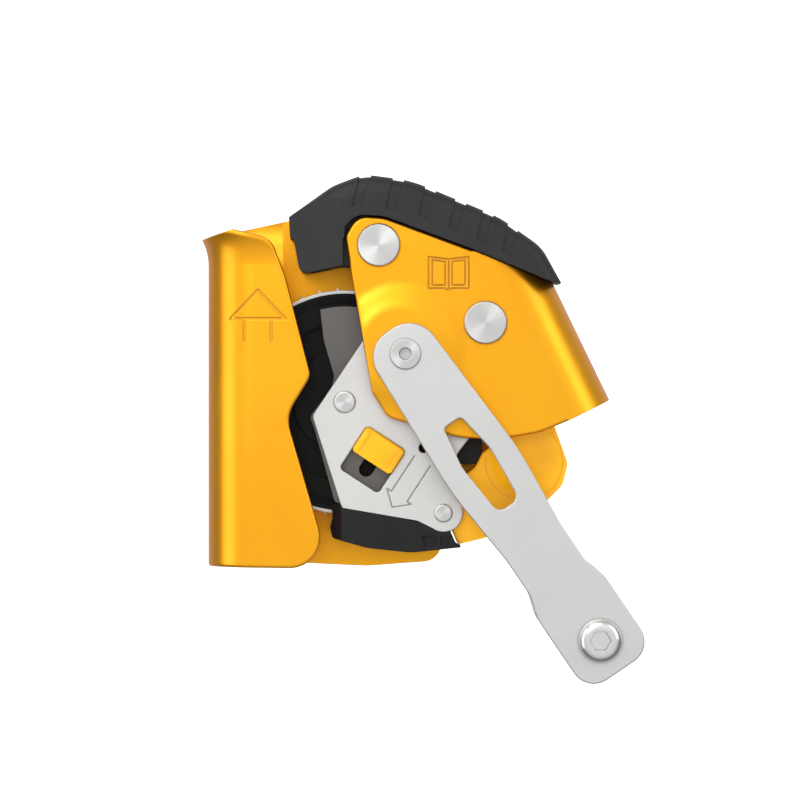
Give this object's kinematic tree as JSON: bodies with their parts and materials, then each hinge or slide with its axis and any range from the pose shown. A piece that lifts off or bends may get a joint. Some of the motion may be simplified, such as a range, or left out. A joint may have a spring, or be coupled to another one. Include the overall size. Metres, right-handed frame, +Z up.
{
  "type": "mobile fall arrester",
  "caption": "Rope device with a folded sheet-metal frame, a toothed locking wheel on a swinging carriage, and a two-plate connecting arm with a bolt.",
  "frame": {"origin": "on the rope's axis, level with the locking wheel's axle, midway between the frame's walls", "axes": "+Z up along the rope, -Y towards the lock button's side, +X from the rope to the connecting arm"},
  "size_m": [0.1407, 0.0492, 0.1611],
  "materials": {
    "gold_anodised": "satin anodised",
    "black_grip": "fine matt grain",
    "turned_steel": "turned",
    "spring_steel": "drawn wire",
    "bronze": "sintered",
    "arm_alloy": "satin anodised",
    "bolt_steel": "polished",
    "plate_steel": "bead blasted",
    "dark_housing": "spark-eroded grain",
    "black_guard": "satin moulded",
    "wheel_black": "satin",
    "hub_metal": "machined",
    "yellow_plastic": "smooth moulded"
  },
  "bodies": {
    "frame": {"frame_sheet": "gold_anodised", "top_grip_pad": "black_grip", "spacer_rivet": "turned_steel", "spacer_tube": "turned_steel", "carriage_pivot_rivet": "turned_steel", "arm_pivot_rivets": "turned_steel", "arm_washers": "bronze", "carriage_spring": "spring_steel"},
    "connecting_arm": {"front_arm_plate": "arm_alloy", "rear_arm_plate": "arm_alloy", "attachment_bolt": "bolt_steel", "attachment_nut": "bolt_steel"},
    "attachment_sleeve": {"attachment_sleeve": "turned_steel"},
    "wheel_carriage": {"front_side_plate": "plate_steel", "rear_side_plate": "plate_steel", "front_housing": "dark_housing", "rear_housing": "dark_housing", "lower_guard": "black_guard", "guard_end_cap": "black_guard", "wheel_axle": "turned_steel", "ratchet_hub": "turned_steel", "pivot_bush": "bronze", "wheel_fender": "black_guard", "catch_axle": "turned_steel", "catch_spring": "spring_steel"},
    "locking_wheel": {"toothed_rim": "turned_steel", "wheel_hub": "hub_metal", "front_wheel_cover": "wheel_black", "rear_wheel_cover": "wheel_black", "wheel_bushes": "bronze", "pawl_pins": "turned_steel", "pawl_springs": "spring_steel"},
    "upper_pawl": {"upper_pawl": "hub_metal"},
    "lower_pawl": {"lower_pawl": "hub_metal"},
    "lock_switch": {"lock_button": "yellow_plastic", "lock_pin": "turned_steel"},
    "safety_catch": {"catch_lever": "yellow_plastic"}
  },
  "joints": [
    {"name": "carriage_swing", "type": "hinge", "parent": "frame", "child": "wheel_carriage", "pos_m": [0.0796, 0, 0.0252], "axis": [0, -1, 0], "range_deg": [0, 40], "stiffness_Nm_per_rad": 0.25, "deforming": ["carriage_spring"]},
    {"name": "catch_press", "type": "hinge", "parent": "wheel_carriage", "child": "safety_catch", "pos_m": [0.0663, 0, -0.0353], "axis": [0, -1, 0], "range_deg": [0, 40], "deforming": ["catch_spring"]},
    {"name": "arm_swing", "type": "hinge", "parent": "frame", "child": "connecting_arm", "pos_m": [0.0542, 0, 0.0152], "axis": [0, -1, 0], "range_deg": [-50, 160]},
    {"name": "wheel_spin", "type": "hinge", "parent": "wheel_carriage", "child": "locking_wheel", "pos_m": [0.0349, 0, 0], "axis": [0, -1, 0], "continuous": true},
    {"name": "lock_slide", "type": "slide", "parent": "wheel_carriage", "child": "lock_switch", "axis": [-0.5459, 0, -0.8378], "range_m": [0, 0.007]},
    {"name": "upper_pawl_swing", "type": "hinge", "parent": "locking_wheel", "child": "upper_pawl", "pos_m": [0.0349, 0, 0.02], "axis": [0, 1, 0], "range_deg": [0, 15.5]},
    {"name": "lower_pawl_swing", "type": "hinge", "parent": "locking_wheel", "child": "lower_pawl", "pos_m": [0.0349, 0, -0.02], "axis": [0, 1, 0], "range_deg": [0, 15.5]},
    {"name": "sleeve_spin", "type": "hinge", "parent": "connecting_arm", "child": "attachment_sleeve", "pos_m": [0.1158, 0, -0.0754], "axis": [0, -1, 0], "continuous": true}
  ],
  "couplings": [
    {"joint": "catch_press", "follows": "carriage_swing", "ratio": 1},
    {"joint": "lower_pawl_swing", "follows": "upper_pawl_swing", "ratio": 1}
  ]
}
